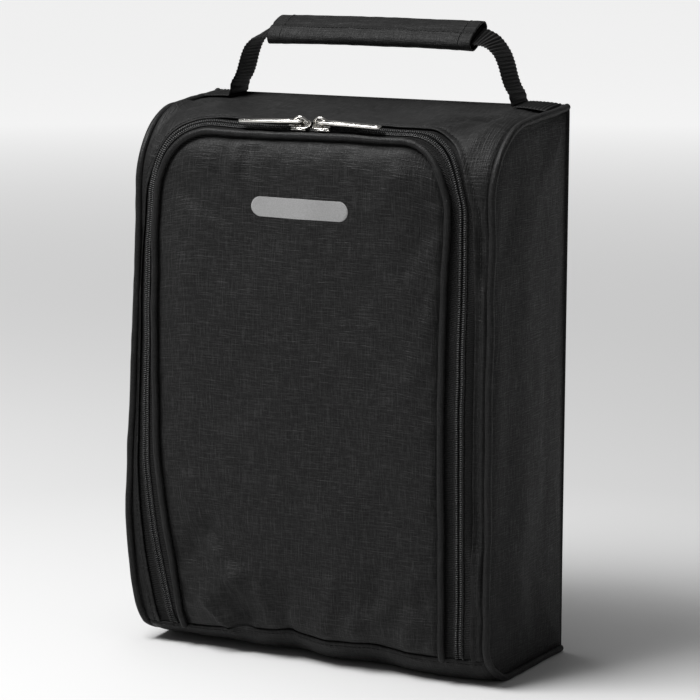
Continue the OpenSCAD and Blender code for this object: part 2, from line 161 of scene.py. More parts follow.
def section(x, s):
    """Distance from the back, height and outward normal of the plain surface at x, s."""
    x, s = np.broadcast_arrays(np.asarray(x, float), np.asarray(s, float))
    r, ct, cz, lean = section_parts(x)
    top = math.pi / 2 - TILT
    turn_1 = mix(top, lean, (s - SHOULDER_S) / (FRONT_S - SHOULDER_S))
    turn_2 = mix(lean, -math.pi / 2, (s - TOE_S) / (BASE_S - TOE_S))
    where = [s < SHOULDER_S, s < FRONT_S, s < TOE_S, s < BASE_S]
    turn = np.select(where, [top + 0 * s, turn_1, lean, turn_2], -math.pi / 2)
    nt, nz = np.cos(turn), np.sin(turn)
    u0, u2 = s / SHOULDER_S, (s - FRONT_S) / (TOE_S - FRONT_S)
    u4 = (s - BASE_S) / (END_S - BASE_S)
    bt = TOE_D - TOE_R
    arc_t, arc_z, toe_t, toe_z = ct + r * nt, cz + r * nz, bt + TOE_R * nt, TOE_R + TOE_R * nz
    top_t, top_z = u0 * (ct + r * math.cos(top)), mix(BAG_H, cz + r * math.sin(top), u0)
    t = np.select(where, [top_t, arc_t, mix(arc_t, toe_t, u2), toe_t], bt * (1 - u4))
    z = np.select(where, [top_z, arc_z, mix(arc_z, toe_z, u2), toe_z], 0.0)
    return t, z, nt, nz


def side_x(t):
    """Half the bag's width at a distance from the back."""
    return BAG_W / 2 - SIDE_TAPER * np.minimum(1, t / SIDE_D)


def pipe_x(s):
    """How far the middle of the side piping is from the bag's middle."""
    return side_x(section(BAG_W / 2, s)[0]) - SIDE_PIPE_R


def zip_depth(x, s):
    """How far a place lies inside the zip's U, negative outside."""
    qx, qs = np.abs(x) - CORNER_X, CORNER_S - s
    outside = np.hypot(np.maximum(qx, 0), np.maximum(qs, 0))
    return ZIP_CORNER - np.where((qx > 0) | (qs > 0), outside, np.maximum(qx, qs))


# ---- how the cloth departs from the plain surface ----
def ripple(x, y, length, seed, count=9):
    """A smooth random surface about 1 high whose bumps are about length apart."""
    rng = np.random.default_rng(seed)
    total = 0
    for _ in range(count):
        turn = rng.uniform(0, math.pi)
        k = 2 * math.pi / (length * rng.uniform(0.7, 1.6))
        phase = rng.uniform(0, 2 * math.pi)
        total = total + np.sin(k * (x * math.cos(turn) + y * math.sin(turn)) + phase)
    return total / math.sqrt(count)


def crease(x, y, x0, y0, x1, y1, width, height):
    """A soft ridge, or a valley if height is negative, that fades out towards its ends."""
    dx, dy = x1 - x0, y1 - y0
    size = math.hypot(dx, dy)
    along = ((x - x0) * dx + (y - y0) * dy) / size**2
    off = ((x - x0) * dy - (y - y0) * dx) / size
    fade = smooth(along / 0.3) * smooth((1 - along) / 0.3)
    return height * bell(off, width) * fade


# Creases: from x, s to x, s, then width and height. The gussets' are from t, z to t, z.
FRONT_CREASES = np.array([
    84, 108, 120, 14, 7, -1.6,  96, 112, 121, 52, 5, 1.3,  60, 78, 112, 22, 9, 1.0,
    -121, 78, -84, 18, 7, -1.5,  -120, 104, -92, 56, 6, 1.2,  -40, 70, -96, 34, 9, -0.8,
    -82, 128, -42, 158, 6, -0.9,  -60, 108, -18, 138, 7, 0.7,  -88, 150, -62, 205, 6, 0.8,
    86, 132, 64, 190, 7, -0.9,  70, 112, 44, 150, 6, 0.8,  88, 180, 72, 250, 6, 0.6,
    -90, 372, -50, 330, 8, -1.2,  -86, 396, -30, 360, 7, 1.0,  -60, 402, -8, 384, 6, -0.8,
    20, 402, 70, 376, 8, 0.8,  40, 404, 88, 360, 8, -0.8,  112, 130, 118, 176, 3.5, -1.2,
    -112, 140, -118, 196, 3.5, -1.2,  111, 330, 119, 380, 4, 0.9,  66, 92, 110, 40, 4, -0.9,
    52, 84, 92, 22, 5, 0.7,  -70, 86, -104, 30, 5, 0.8,  -60, 150, -88, 120, 6, -0.7,
    111.8, 150, 112.6, 372, 2.6, -1.5,  117, 150, 117.5, 360, 2.6, 0.7,  -74, 380, -50, 414, 3, 0.7,
    -58, 362, -40, 412, 5, -0.8,  -32, 352, -24, 412, 6, 0.7,  -10, 366, -14, 414, 4, -0.6,
    26, 356, 10, 412, 6, 0.6,  54, 344, 40, 412, 7, -0.7,  80, 338, 66, 410, 6, 0.6,
    -114, 150, -113, 330, 2.4, -0.7,  30, 110, 10, 170, 9, -0.5,  -14, 250, 50, 300, 16, -0.5,
    -70, 300, 0, 350, 14, 0.5,  -56, 102, -50, 138, 5, -1.1,  -45, 102, -43, 134, 5, 0.7,
    -33, 102, -37, 132, 5, -0.9,  -30, 270, 52, 352, 12, 0.8,  0, 250, 86, 340, 14, -0.8,
    -72, 340, -34, 392, 7, 0.7,  -92, 60, -110, 104, 5, -1.1,  -104, 52, -112, 96, 4, 1.0,
    8, 12, 44, 82, 10, -1.3,  -24, 22, -6, 84, 9, 0.9,  44, 8, 84, 84, 10, 1.1,
    74, 14, 104, 74, 8, -1.1,  -72, 20, -58, 78, 9, -0.9,
]).reshape(-1, 6)


def puff(x, s):
    """Height of the cloth over the plain surface, the same for every layer."""
    x, s = np.broadcast_arrays(np.asarray(x, float), np.asarray(s, float))
    rise = 0.75 * ripple(x, s, 110, 11) + 0.28 * ripple(x, s, 38, 12)
    rise = rise + 3.2 * bell(s - 265, 120) * np.clip(1 - (x / 122) ** 4, 0, 1)
    rise = rise - 1.6 * bell(s - 42, 30) * np.clip(1 - (x / 112) ** 2, 0, 1)
    strength = mix(1.5, 3.4, smooth((s - 290) / 80))
    for *ends, width, height in FRONT_CREASES:
        rise = rise + crease(x, s, *ends, width, height) * strength
    by_seam = pipe_x(s) - np.abs(x)
    rise = rise - 1.1 * bell(by_seam, 5.5) - 0.9 * bell(by_seam - 2.2, 1.3)
    toe = smooth((s - TOE_S) / 12) * smooth((BASE_S + 6 - s) / 20)
    rise = rise + 1.3 * toe * np.sin(x / 12.5 + 1.4 * np.sin(x / 37))
    keep = smooth(s / 5) * (1 - smooth((s - BASE_S + 16) / 18))
    return rise * keep


# How far the slack left side has moved in (+) or out (-) along its side seam, its zip and its
# door piping, at distances s over the section
SLACK_S = [-40, 60, 95, 124, 154, 209, 255, 302, 330, 356, 385, 404, 425, 560]
SLACK_SIDE = [4.5, 4.8, 4.8, 4.2, 3.6, 1.8, -0.8, -3.0, -4.6, -4.2, -0.5, 5.0, 8.0, 8.0]
SLACK_ZIP = [0, 0, -1.5, -4.0, -5.6, -7.0, -8.5, -9.0, -6.5, -3.2, 4.5, 9.0, 10, 10]
SLACK_PIPE = [0, 0, -3.0, -7.0, -9.6, -11, -11, -9.7, -6.0, -2.0, 3.0, 6.0, 7.0, 7.0]
SLACK_BACK = 4.5


def slack(table, s):
    """A value from a table above, eased over neighbouring distances."""
    steps = np.linspace(-14, 14, 9)
    ease = 1 + np.cos(steps / 15 * math.pi)
    return sum(w * np.interp(s + d, SLACK_S, table) for w, d in zip(ease, steps)) / ease.sum()


def side_slack(t, z):
    """How far the left side has moved, at a distance from the back and a height."""
    behind = SLACK_BACK * smooth((z - 265) / 50)
    return mix(behind, slack(SLACK_SIDE, 420 - z), smooth(t / 80))


def slump(x, s, t, z):
    """Sideways shift of the cloth at x, s. Only the left side is slack."""
    front = smooth(t / 80)
    at_zip, at_pipe = slack(SLACK_ZIP, s) * front, slack(SLACK_PIPE, s) * front
    inner = at_pipe * smooth((-12 - x) / 80)
    between = mix(at_pipe, at_zip, (-92 - x) / (ZIP_HALF - 92))
    outer = smooth((-ZIP_HALF - x) / (BAG_W / 2 - ZIP_HALF - 2))
    outer = mix(at_zip, side_slack(t, z), outer)
    return np.select([x > -92, x > -ZIP_HALF], [inner, between], outer)


def sag(x, t, z):
    """Height the soft foot of the front has gained or lost."""
    foot = 2.6 * smooth((70 - x) / 130)
    seam = 1.6 * bell(x + 8, 48) - 3.6 * smooth((-45 - x) / 45)
    low = mix(foot, seam, z / 16)
    return smooth((t - 52) / 34) * np.where(z < 16, low, seam * (1 - smooth((z - 16) / 50)))


def near_top_zip(x, s):
    """Round the top of the U both edges of cloth sit closer to the zip than lower down."""
    qx, qs = np.maximum(np.abs(x) - CORNER_X, 0), np.maximum(CORNER_S - s, 0)
    size = np.maximum(np.hypot(qx, qs), 1e-6)
    out = -zip_depth(x, s)
    pull = 3.0 + 2.4 * smooth((-52 - x) / 20)
    shell = -pull * smooth((out - 2) / 6) * (1 - smooth((out - 12) / 40))
    shell = shell * (1 - smooth((np.abs(x) - 106) / 12))
    door = 2.2 * smooth((-out - 2.5) / 6) * (1 - smooth((-out - 14) / 24))
    shift = (shell + door) * (1 - smooth((s - 125) / 70))
    return x + np.sign(x) * qx / size * shift, s - qs / size * shift


def skin(x, s, height=0.0):
    """Points over the bag's cloth: right, back, up."""
    x, s = np.broadcast_arrays(np.asarray(x, float), np.asarray(s, float))
    x, s = near_top_zip(x, s)
    t, z, nt, nz = section(x, s)
    h = height + puff(x, s)
    shift, lift = slump(x, s, t, z), sag(x, t, z)
    return np.stack([x + shift, BACK_Y - (t + nt * h), z + nz * h + lift], -1)


def skin_normal(x, s):
    _, _, nt, nz = section(x, s)
    return np.stack([0 * nt, -nt, nz], -1)


# ---- meshes ----
scene = bpy.context.scene


def link_new(name, data):
    ob = bpy.data.objects.new(name, data)
    scene.collection.objects.link(ob)
    return ob


def new_piece(name, points, faces, uvs=None, weld=False):
    """A smooth-shaded object from points in millimetres. uvs holds metres, one pair a point."""
    mesh = bpy.data.meshes.new(name)
    mesh.from_pydata((np.asarray(points).reshape(-1, 3) * MM).tolist(), [], faces)
    if uvs is not None:
        layer = mesh.uv_layers.new(name="UVMap")
        corner = np.empty(len(mesh.loops), int)
        mesh.loops.foreach_get("vertex_index", corner)
        layer.data.foreach_set("uv", np.asarray(uvs, float).reshape(-1, 2)[corner].ravel())
    bm = bmesh.new()
    bm.from_mesh(mesh)
    if weld:
        bmesh.ops.remove_doubles(bm, verts=bm.verts, dist=2e-6)
    bmesh.ops.recalc_face_normals(bm, faces=bm.faces)
    bm.to_mesh(mesh)
    bm.free()
    mesh.polygons.foreach_set("use_smooth", [True] * len(mesh.polygons))
    return link_new(name, mesh)


def dress(ob, body, slot, *nodes, look=None):
    """Gives a piece its body and the look of its slot, or the look named, and hides the CAD nodes
    it stands for.
    """
    ob.data.materials.append(LOOKS[look or slot])
    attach(ob, body)
    if nodes:
        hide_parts(*nodes)


def grid_faces(rows, cols, start=0, closed=False):
    faces = []
    for i in range(rows if closed else rows - 1):
        a, b = start + i * cols, start + ((i + 1) % rows) * cols
        faces += [(a + j, a + j + 1, b + j + 1, b + j) for j in range(cols - 1)]
    return faces


def slab(name, outer, inner, uvs, round_edge=0.5):
    """A closed sheet between two grids of points, its rim rounded outwards."""
    rows, cols = outer.shape[:2]
    n = rows * cols
    rim = [(0, j) for j in range(cols)]
    rim += [(i, cols - 1) for i in range(1, rows)]
    rim += [(rows - 1, j) for j in range(cols - 2, -1, -1)]
    rim += [(i, 0) for i in range(rows - 2, 0, -1)]
    middle = []
    for i, j in rim:
        ii, jj = min(max(i, 1), rows - 2), min(max(j, 1), cols - 2)
        away = outer[i, j] - outer[ii, jj]
        size = np.linalg.norm(away)
        thick = np.linalg.norm(outer[i, j] - inner[i, j])
        step = away / size * thick * round_edge if size > 1e-6 else 0
        middle.append((outer[i, j] + inner[i, j]) / 2 + step)
    points = np.concatenate([outer.reshape(-1, 3), inner.reshape(-1, 3), np.array(middle)])
    flat = uvs.reshape(-1, 2)
    all_uvs = np.concatenate([flat, flat, np.array([uvs[i, j] for i, j in rim])])
    faces = grid_faces(rows, cols) + grid_faces(rows, cols, n)
    m = len(rim)
    for k in range(m):
        (i0, j0), (i1, j1) = rim[k], rim[(k + 1) % m]
        a, b = i0 * cols + j0, i1 * cols + j1
        c, d = 2 * n + k, 2 * n + (k + 1) % m
        faces += [(a, b, d, c), (c, d, b + n, a + n)]
    return new_piece(name, points, faces, all_uvs)


def two_layers(name, outer, inner, uvs, wall, closed=False):
    """A welded sheet from two grids of points. wall lists the edges of the grid along its rim."""
    rows, cols = outer.shape[:2]
    n = rows * cols
    faces = grid_faces(rows, cols, 0, closed) + grid_faces(rows, cols, n, closed)
    faces += [(a, b, b + n, a + n) for a, b in wall]
    points = np.concatenate([outer.reshape(-1, 3), inner.reshape(-1, 3)])
    flat = uvs.reshape(-1, 2) * MM
    return new_piece(name, points, faces, np.concatenate([flat, flat]), weld=True)


def cloth(name, x, s, top, thick, turn_uv=False, shape=skin):
    """A closed sheet over a grid of x, s. top is the height of its outer face."""
    x, s = np.broadcast_arrays(x, s)
    top = np.broadcast_to(top, x.shape)
    uvs = np.stack([x, s], -1) * MM
    if turn_uv:
        uvs = uvs[..., ::-1]
    return slab(name, shape(x, s, top), shape(x, s, top - thick), uvs)


def frames_along(line, ups):
    """Unit vectors along a line, up from it and across it."""
    along = unit(np.gradient(line, axis=0))
    side = unit(np.cross(along, ups))
    return along, np.cross(side, along), side


def tube(name, line, ups, radius, sides=14, flat=1.0, caps=4):
    """A round cord along a line with rounded ends. flat squeezes it along ups."""
    radius = np.broadcast_to(np.asarray(radius, float), (len(line),))
    along, up, side = frames_along(line, ups)
    length = run_length(line)

    def cap(i, way, k):
        a = k / caps * math.pi / 2
        centre = line[i] + way * along[i] * radius[i] * math.sin(a)
        return centre, i, radius[i] * math.cos(a), length[i]

    rings = [cap(0, -1, k) for k in range(caps, 0, -1)]
    rings += [(line[i], i, radius[i], length[i]) for i in range(len(line))]
    rings += [cap(len(line) - 1, 1, k) for k in range(1, caps + 1)]
    angle = np.linspace(0, 2 * math.pi, sides + 1)
    points, uvs = [], []
    for centre, i, r, at in rings:
        wall = np.cos(angle)[:, None] * up[i] * flat + np.sin(angle)[:, None] * side[i]
        points.append(centre + max(r, 0.02) * wall)
        uvs.append(np.stack([np.full(sides + 1, at), angle * radius[i]], -1) * MM)
    points, uvs = np.array(points), np.array(uvs)
    return new_piece(name, points, grid_faces(len(rings), sides + 1), uvs, weld=True)


def resample(line, ups, pitch, start=0.0):
    """Even steps along a line: the places, and the directions along, up and across."""
    length = run_length(line)
    at = np.arange(start, length[-1], pitch)
    place, up = along_run(at, length, line), along_run(at, length, ups)
    along = along_run(at + 0.4, length, line) - along_run(at - 0.4, length, line)
    good = np.linalg.norm(along, axis=1) > 1e-6
    place, up, along = place[good], up[good], unit(along[good])
    side = unit(np.cross(along, up))
    return place, along, np.cross(side, along), side


def beads(name, place, run, up, length, radius, arch, sides=6, rings=5):
    """Many short rounded rods, one at each place, each along run and bowed towards up."""
    side = np.cross(run, up)
    points = []
    for k in range(rings):
        u = k / (rings - 1) * 2 - 1
        r = radius * math.sqrt(max(1 - 0.8 * u**4, 0.05))
        centre = place + run * (u * length / 2) + up * (arch * (1 - u * u))
        for j in range(sides):
            a = 2 * math.pi * j / sides
            points.append(centre + up * (r * math.cos(a)) + side * (r * math.sin(a)))
    points = np.array(points).transpose(1, 0, 2)
    count, one = rings * sides, []
    for k in range(rings - 1):
        for j in range(sides):
            a, b = k * sides + j, k * sides + (j + 1) % sides
            one.append((a, b, b + sides, a + sides))
    one.append(tuple(range(sides - 1, -1, -1)))
    one.append(tuple(range(count - sides, count)))
    faces = [tuple(i + n * count for i in face) for n in range(len(place)) for face in one]
    return new_piece(name, points, faces, points.reshape(-1, 3)[:, [0, 2]] * MM)


def stitches(name, line, ups, pitch=3.0, length=2.3, radius=0.24, lift=0.05):
    place, along, up, _ = resample(line, ups, pitch, pitch / 2)
    return beads(name, place + up * (lift - 0.15), along, up, length, radius, 0.3)


# ---- materials ----
class Nodes:
    """A material's node tree, with short calls for the nodes used here."""

    def __init__(self, name, roughness, metallic=0.0, specular=0.5):
        self.material = bpy.data.materials.new(name)
        self.material.use_nodes = True
        self.tree = self.material.node_tree
        self.shader = self.tree.nodes["Principled BSDF"]
        self.set({"Roughness": roughness, "Metallic": metallic, "Specular IOR Level": specular})

    def set(self, values):
        for socket, value in values.items():
            self.shader.inputs[socket].default_value = value

    def add(self, kind, links=(), **values):
        node = self.tree.nodes.new(kind)
        for key, value in values.items():
            setattr(node, key, value)
        for socket, value in dict(links).items():
            target = node.inputs[socket]
            if isinstance(value, bpy.types.NodeSocket):
                self.tree.links.new(value, target)
            else:
                target.default_value = value
        return node

    def uv(self, scale, turn=0.0):
        at = self.add("ShaderNodeUVMap", uv_map="UVMap").outputs[0]
        links = {"Vector": at, "Rotation": (0, 0, turn), "Scale": (*scale, 1)}
        return self.add("ShaderNodeMapping", links).outputs[0]

    def place(self, scale):
        at = self.add("ShaderNodeTexCoord").outputs["Object"]
        return self.add("ShaderNodeMapping", {"Vector": at, "Scale": scale}).outputs[0]

    def noise(self, vector, detail=2.0, rough=0.5):
        links = {"Vector": vector, "Scale": 1.0, "Detail": detail, "Roughness": rough}
        return self.add("ShaderNodeTexNoise", links).outputs["Fac"]

    def ramp(self, value, low, high, to_low=0.0, to_high=1.0):
        names = ("Value", "From Min", "From Max", "To Min", "To Max")
        links = zip(names, (value, low, high, to_low, to_high))
        return self.add("ShaderNodeMapRange", links).outputs["Result"]

    def math(self, operation, a, b):
        return self.add("ShaderNodeMath", {0: a, 1: b}, operation=operation).outputs[0]

    def colour(self, factor, a, b):
        links = {"Factor": factor, "A": (*a, 1), "B": (*b, 1)}
        return self.add("ShaderNodeMix", links, data_type="RGBA").outputs["Result"]

    def link(self, value, socket):
        self.tree.links.new(value, self.shader.inputs[socket])

    def bump(self, height, distance, strength=1.0):
        links = {"Height": height, "Distance": distance, "Strength": strength}
        self.link(self.add("ShaderNodeBump", links).outputs[0], "Normal")


def grey(value, warm=0.0):
    return (value * (1 + warm), value, value * (1 - warm))


def slub_cloth(name, dark, light, turn=0.0, strength=1.0, roughness=0.5):
    """Polyester with a fine weave and longer, lighter slubs along both threads."""
    n = Nodes(name, roughness, specular=0.12)
    n.set({"Sheen Weight": 0.012, "Sheen Roughness": 0.4})
    across = n.noise(n.uv((78, 1350), turn), 1.5, 0.5)
    down = n.noise(n.uv((1350, 70), turn), 1.5, 0.5)
    short_across = n.noise(n.uv((190, 1600), turn), 1.0)
    short_down = n.noise(n.uv((1600, 170), turn), 1.0)
    slubs = n.math("ADD", n.ramp(across, 0.50, 0.74), n.ramp(down, 0.51, 0.75))
    shorts = n.math("ADD", n.ramp(short_across, 0.48, 0.78), n.ramp(short_down, 0.48, 0.78))
    threads = n.math("ADD", n.math("MULTIPLY", slubs, 0.7 * strength),
                     n.math("MULTIPLY", shorts, 0.5 * strength))
    grain = n.noise(n.uv((1200, 1200), turn), 2.0)
    cloudy = n.noise(n.uv((14, 14)), 3.0)
    tone = n.math("ADD", threads, n.math("MULTIPLY", n.math("SUBTRACT", grain, 0.5), 1.2))
    tone = n.math("ADD", tone, n.math("MULTIPLY", n.math("SUBTRACT", cloudy, 0.5), 0.3))
    n.link(n.colour(n.ramp(tone, -0.2, 1.3), dark, light), "Base Color")
    n.link(n.ramp(tone, 0.0, 1.2, roughness + 0.06, roughness - 0.12), "Roughness")
    n.bump(n.math("ADD", threads, grain), 0.00022, 0.8)
    return n.material


def ribbed(name, dark, light, pitch_mm, across=True, roughness=0.6, depth=0.0002):
    """Woven tape: fine ribs, with threads of uneven tone."""
    n = Nodes(name, roughness, specular=0.12)
    k = 2 * math.pi / (pitch_mm * MM)
    wave = n.add(
        "ShaderNodeTexWave",
        {"Vector": n.uv((k / 20, k / 20)), "Scale": 1.0, "Distortion": 0.5, "Detail": 1.0},
        bands_direction="X" if across else "Y",
    ).outputs["Fac"]
    grain = n.noise(n.uv((1700, 1700)), 2.0)
    tone = n.math("ADD", n.math("MULTIPLY", wave, 0.6), n.math("MULTIPLY", grain, 0.5))
    n.link(n.colour(n.ramp(tone, 0.1, 1.0), dark, light), "Base Color")
    n.link(n.ramp(grain, 0.3, 0.7, roughness - 0.08, roughness + 0.08), "Roughness")
    n.bump(n.math("ADD", wave, n.math("MULTIPLY", grain, 0.4)), depth)
    return n.material


def speckled(name, dark, light, scale, roughness, depth, metallic=0.0, spread=0.1, specular=0.5):
    """A plain surface with fine uneven tone, gloss and relief."""
    n = Nodes(name, roughness, metallic, specular)
    grain = n.noise(n.place((scale, scale, scale)), 4.0, 0.6)
    n.link(n.colour(n.ramp(grain, 0.35, 0.65), dark, light), "Base Color")
    n.link(n.ramp(grain, 0.3, 0.7, roughness - spread, roughness + spread), "Roughness")
    n.bump(grain, depth)
    return n.material


# The look of each slot, and of the sewing thread
LOOKS = {
    # shell_cloth is the door's fabric in a darker colour: painted shade for the sides, which face
    # away from the key light
    "shell_cloth": slub_cloth("shell_cloth", grey(0.0030), grey(0.022)),
    "door_cloth": slub_cloth("door_cloth", grey(0.0035), grey(0.026)),
    # The piping is the same fabric cut on the bias: its smoother weave and lower roughness are its
    # own, its lighter colour is painted sheen
    "piping": slub_cloth("piping_cloth", grey(0.004), grey(0.030), math.pi / 4, 0.6, 0.42),
    # The sleeve is the same fabric in a darker colour: painted shade, to hold the grip down where
    # the key light falls fully on it
    "sleeve_cloth": slub_cloth("sleeve_cloth", grey(0.003), grey(0.014)),
    "lining": ribbed("lining_cloth", grey(0.035), grey(0.07), 0.9, True, 0.7, 0.00008),
    "binding": ribbed("binding_tape", grey(0.004), grey(0.012), 1.2, True, 0.75, 0.00015),
    # The zip tape is black, and coloured darker than the cloth as painted shade for the gap the zip
    # lies in
    "zip_tape": ribbed("zip_tape", grey(0.0015), grey(0.008), 1.1, True, 0.6, 0.00025),
    "webbing": ribbed("webbing", grey(0.003), grey(0.011), 0.75, False, 0.55, 0.0002),
    "zip_coil": speckled("zip_coil", grey(0.007), grey(0.016), 900, 0.36, 0.00002, specular=0.38),
    "thread": speckled("thread", grey(0.006), grey(0.015), 2600, 0.5, 0.00004, specular=0.2),
    "foam": speckled("foam", (0.55, 0.53, 0.47), (0.72, 0.70, 0.63), 1400, 0.85, 0.0003,
                     spread=0.05),
    "board": speckled("board", (0.30, 0.28, 0.24), (0.36, 0.34, 0.29), 500, 0.6, 0.00003),
    "label": speckled("label", grey(0.21), grey(0.27), 1500, 0.45, 0.00003, specular=0.3),
    "nickel": speckled("nickel", (0.50, 0.485, 0.46), (0.62, 0.605, 0.575), 500, 0.22, 0.000004,
                       metallic=1.0, spread=0.06),
}

# ---- the path of the zip ----
SIDE_STEPS, TOP_STEPS = 120, 56
BACK_EDGE_S = 0.7
LOW_S = HINGE_S - 0.6


def edge_x(s):
    """How far the front's cloth reaches, to just under the side piping."""
    return pipe_x(s) - SIDE_PIPE_R + 1.2


BACK_CORNER = math.atan2(CORNER_S - BACK_EDGE_S, float(edge_x(0)) - CORNER_X)
TURNS = np.concatenate([
    np.linspace(0, BACK_CORNER, 22, endpoint=False),
    np.linspace(BACK_CORNER, math.pi / 2, 16, endpoint=False),
])
UPRIGHT = np.linspace(LOW_S, CORNER_S, SIDE_STEPS, endpoint=False)
TOP_RUN = np.linspace(-CORNER_X, CORNER_X, TOP_STEPS)


def both_sides(left_x, left_s, top_x, top_s):
    x = np.concatenate([left_x, top_x, -left_x[::-1]])
    s = np.concatenate([left_s, top_s, left_s[::-1]])
    return x, s


def zip_path(out):
    """The zip's U, moved outwards by out, as arrays of x and s."""
    r = ZIP_CORNER + out
    left_x = np.concatenate([np.full(SIDE_STEPS, -ZIP_HALF - out), -CORNER_X - r * np.cos(TURNS)])
    left_s = np.concatenate([UPRIGHT, CORNER_S - r * np.sin(TURNS)])
    return both_sides(left_x, left_s, TOP_RUN, np.full(TOP_STEPS, ZIP_TOP - out))


def shell_edge():
    """The outer edge of the surround's cloth, point by point with the zip's path."""
    reach = np.minimum(
        (edge_x(CORNER_S) - CORNER_X) / np.maximum(np.cos(TURNS), 1e-3),
        (CORNER_S - BACK_EDGE_S) / np.maximum(np.sin(TURNS), 1e-3),
    )
    corner_s = np.maximum(CORNER_S - reach * np.sin(TURNS), BACK_EDGE_S)
    on_side = TURNS <= BACK_CORNER + 1e-9
    corner_x = np.where(on_side, -edge_x(corner_s), -CORNER_X - reach * np.cos(TURNS))
    left_x = np.concatenate([-edge_x(UPRIGHT), corner_x])
    left_s = np.concatenate([UPRIGHT, corner_s])
    return both_sides(left_x, left_s, TOP_RUN, np.full(TOP_STEPS, BACK_EDGE_S))


def u_band(outs):
    """A grid of x, s along the zip: one column for each distance in outs."""
    columns = [zip_path(out) for out in outs]
    return np.stack([c[0] for c in columns], 1), np.stack([c[1] for c in columns], 1)


def u_line(out, height):
    """Points and normals along the zip at a distance out from it."""
    x, s = zip_path(out)
    return skin(x, s, height), skin_normal(x, s)


# ---- shell: cloth ----
CLOTH_T, DOOR_CLOTH_T, LINING_T, TAPE_T = 1.1, 0.8, 0.5, 0.5


def surround(name, first_out, near, far_columns, top, thick):
    """The U-shaped cloth from the zip out to the side seams and the back edge."""
    x, s = u_band([first_out + d for d in near])
    ex, es = shell_edge()
    v = np.linspace(0, 1, far_columns + 1)[1:]
    far_x = mix(x[:, -1:], ex[:, None], v)
    far_s = mix(s[:, -1:], es[:, None], v)
    x, s = np.concatenate([x, far_x], 1), np.concatenate([s, far_s], 1)
    distance = -zip_depth(x, s) - first_out
    fold = 0.5 * bell(distance, 1.6) - 0.45 * bell(distance - 2.6, 0.9)
    return cloth(name, x, s, top + fold, thick)


NEAR_ZIP = [0, 0.5, 1.1, 1.7, 2.2, 2.6, 3.0, 3.6, 4.6]
dress(surround("surround_cloth", REVEAL, NEAR_ZIP, 30, 0.0, CLOTH_T),
      "shell", "shell_cloth", "surround_panel")
dress(surround("surround_lining_cloth", TAPE_W, [0, 1.5, 3.0], 20, -3.0, LINING_T),
      "shell", "lining", "surround_lining")
SEAM_OFF = 2.6  # from a folded edge to its row of stitches
dress(stitches("surround_stitches", *u_line(REVEAL + SEAM_OFF, -0.35)),
      "shell", "shell_cloth", look="thread")


def across(s_values, count, inset, reach=edge_x):
    """A grid of x, s from side seam to side seam."""
    s = np.asarray(s_values, float)[:, None]
    u = np.linspace(-1, 1, count)
    return u * (reach(s) - inset), s + 0 * u


base_s = np.concatenate([
    HINGE_S + np.array([0.5, 1.0, 1.8, 2.6, 3.4]),
    np.linspace(HINGE_S + 4.5, BASE_S, 18),
    np.linspace(BASE_S + 6, END_S - 1, 12),
])
x, s = across(base_s, 110, 0)
fold = -1.0 * bell(s - HINGE_S, 1.5) - 0.3 * bell(s - HINGE_S - SEAM_OFF, 0.8)
dress(cloth("base_cloth", x, s, fold, CLOTH_T),
      "shell", "shell_cloth", "base_panel")
x, s = np.linspace(-1, 1, 120) * float(edge_x(HINGE_S) - 2), np.full(120, HINGE_S + SEAM_OFF)
dress(stitches("base_stitches", skin(x, s, -0.2), skin_normal(x, s)),
      "shell", "shell_cloth", look="thread")

x, s = across(np.linspace(BASE_S, END_S - 6, 10), 30, 8)
dress(cloth("base_stiffener", x, s, -1.3, 1.8), "shell", "board", "base_board")
x, s = across(np.linspace(BASE_S - 8, END_S - 5, 24), 60, 4)
dress(cloth("base_lining_cloth", x, s, -3.3, LINING_T), "shell", "lining", "base_lining")


SPINE_T, SPINE_LOW, SPINE_HIGH = 46.0, 52.0, 276.0


def rings_to_spine(outline, columns):
    """Places (t, z) on rings from an outline in to an upright spine, and how far in each is."""
    target_z = np.clip(outline[:, 1], SPINE_LOW, SPINE_HIGH)
    target = np.stack([np.full(len(outline), SPINE_T), target_z], -1)
    v = np.linspace(0, 1, columns)[None, :, None] ** 1.3
    points = mix(outline[:, None], target[:, None], v)
    return points, np.linalg.norm(points - outline[:, None], axis=2)


GUSSET_CREASES = np.array([
    30, 30, 34, 300, 7, -0.9,  58, 40, 54, 290, 8, 0.8,  78, 80, 76, 250, 7, -0.6,
    12, 60, 16, 280, 6, 0.6,  60, 8, 98, 70, 7, -1.0,  40, 10, 88, 96, 8, 0.8,
    66, 300, 90, 240, 6, -0.7,  20, 322, 56, 262, 7, 0.7,
]).reshape(-1, 6)


def gusset_shape(side):
    """A function like skin, for a side's cloth: from t, z and a height out from the side."""
    def shape(t, z, height):
        rise = 0.45 * ripple(t, z / 3, 48, 21 + side) + 0.1 * ripple(t, z, 26, 31 + side)
        for *ends, width, amount in GUSSET_CREASES:
            rise = rise + crease(t, z, *ends, width, 0.65 * amount)
        x = side_x(t) - 1.5 + 0.9 * bell(t, 4) + height + rise * smooth(np.minimum(t / 10, 1))
        shift = side_slack(t, z) if side < 0 else 0
        return np.stack([side * x + shift, BACK_Y - t, z + sag(side * x, t, z)], -1)
    return shape


def section_steps(inset, counts):
    """Distances over the section, with a count for each of its five parts."""
    ends = [inset, SHOULDER_S, FRONT_S, TOE_S, BASE_S, END_S - inset]
    parts = [np.linspace(a, b, n)[1:] for a, b, n in zip(ends, ends[1:], counts)]
    return np.concatenate([[inset], *parts])


def gusset_outline(inset, back_t):
    """A side's edge, in from the section by inset, and straight up at back_t."""
    s = section_steps(0.5, (26, 26, 80, 22, 22))
    t, z, nt, nz = section(BAG_W / 2, s)
    front = np.stack([np.maximum(t - nt * inset, back_t), z - nz * inset], -1)
    back_z = np.linspace(front[-1, 1], front[0, 1], 80)[1:-1]
    return np.concatenate([front, np.stack([np.full(len(back_z), back_t), back_z], -1)])


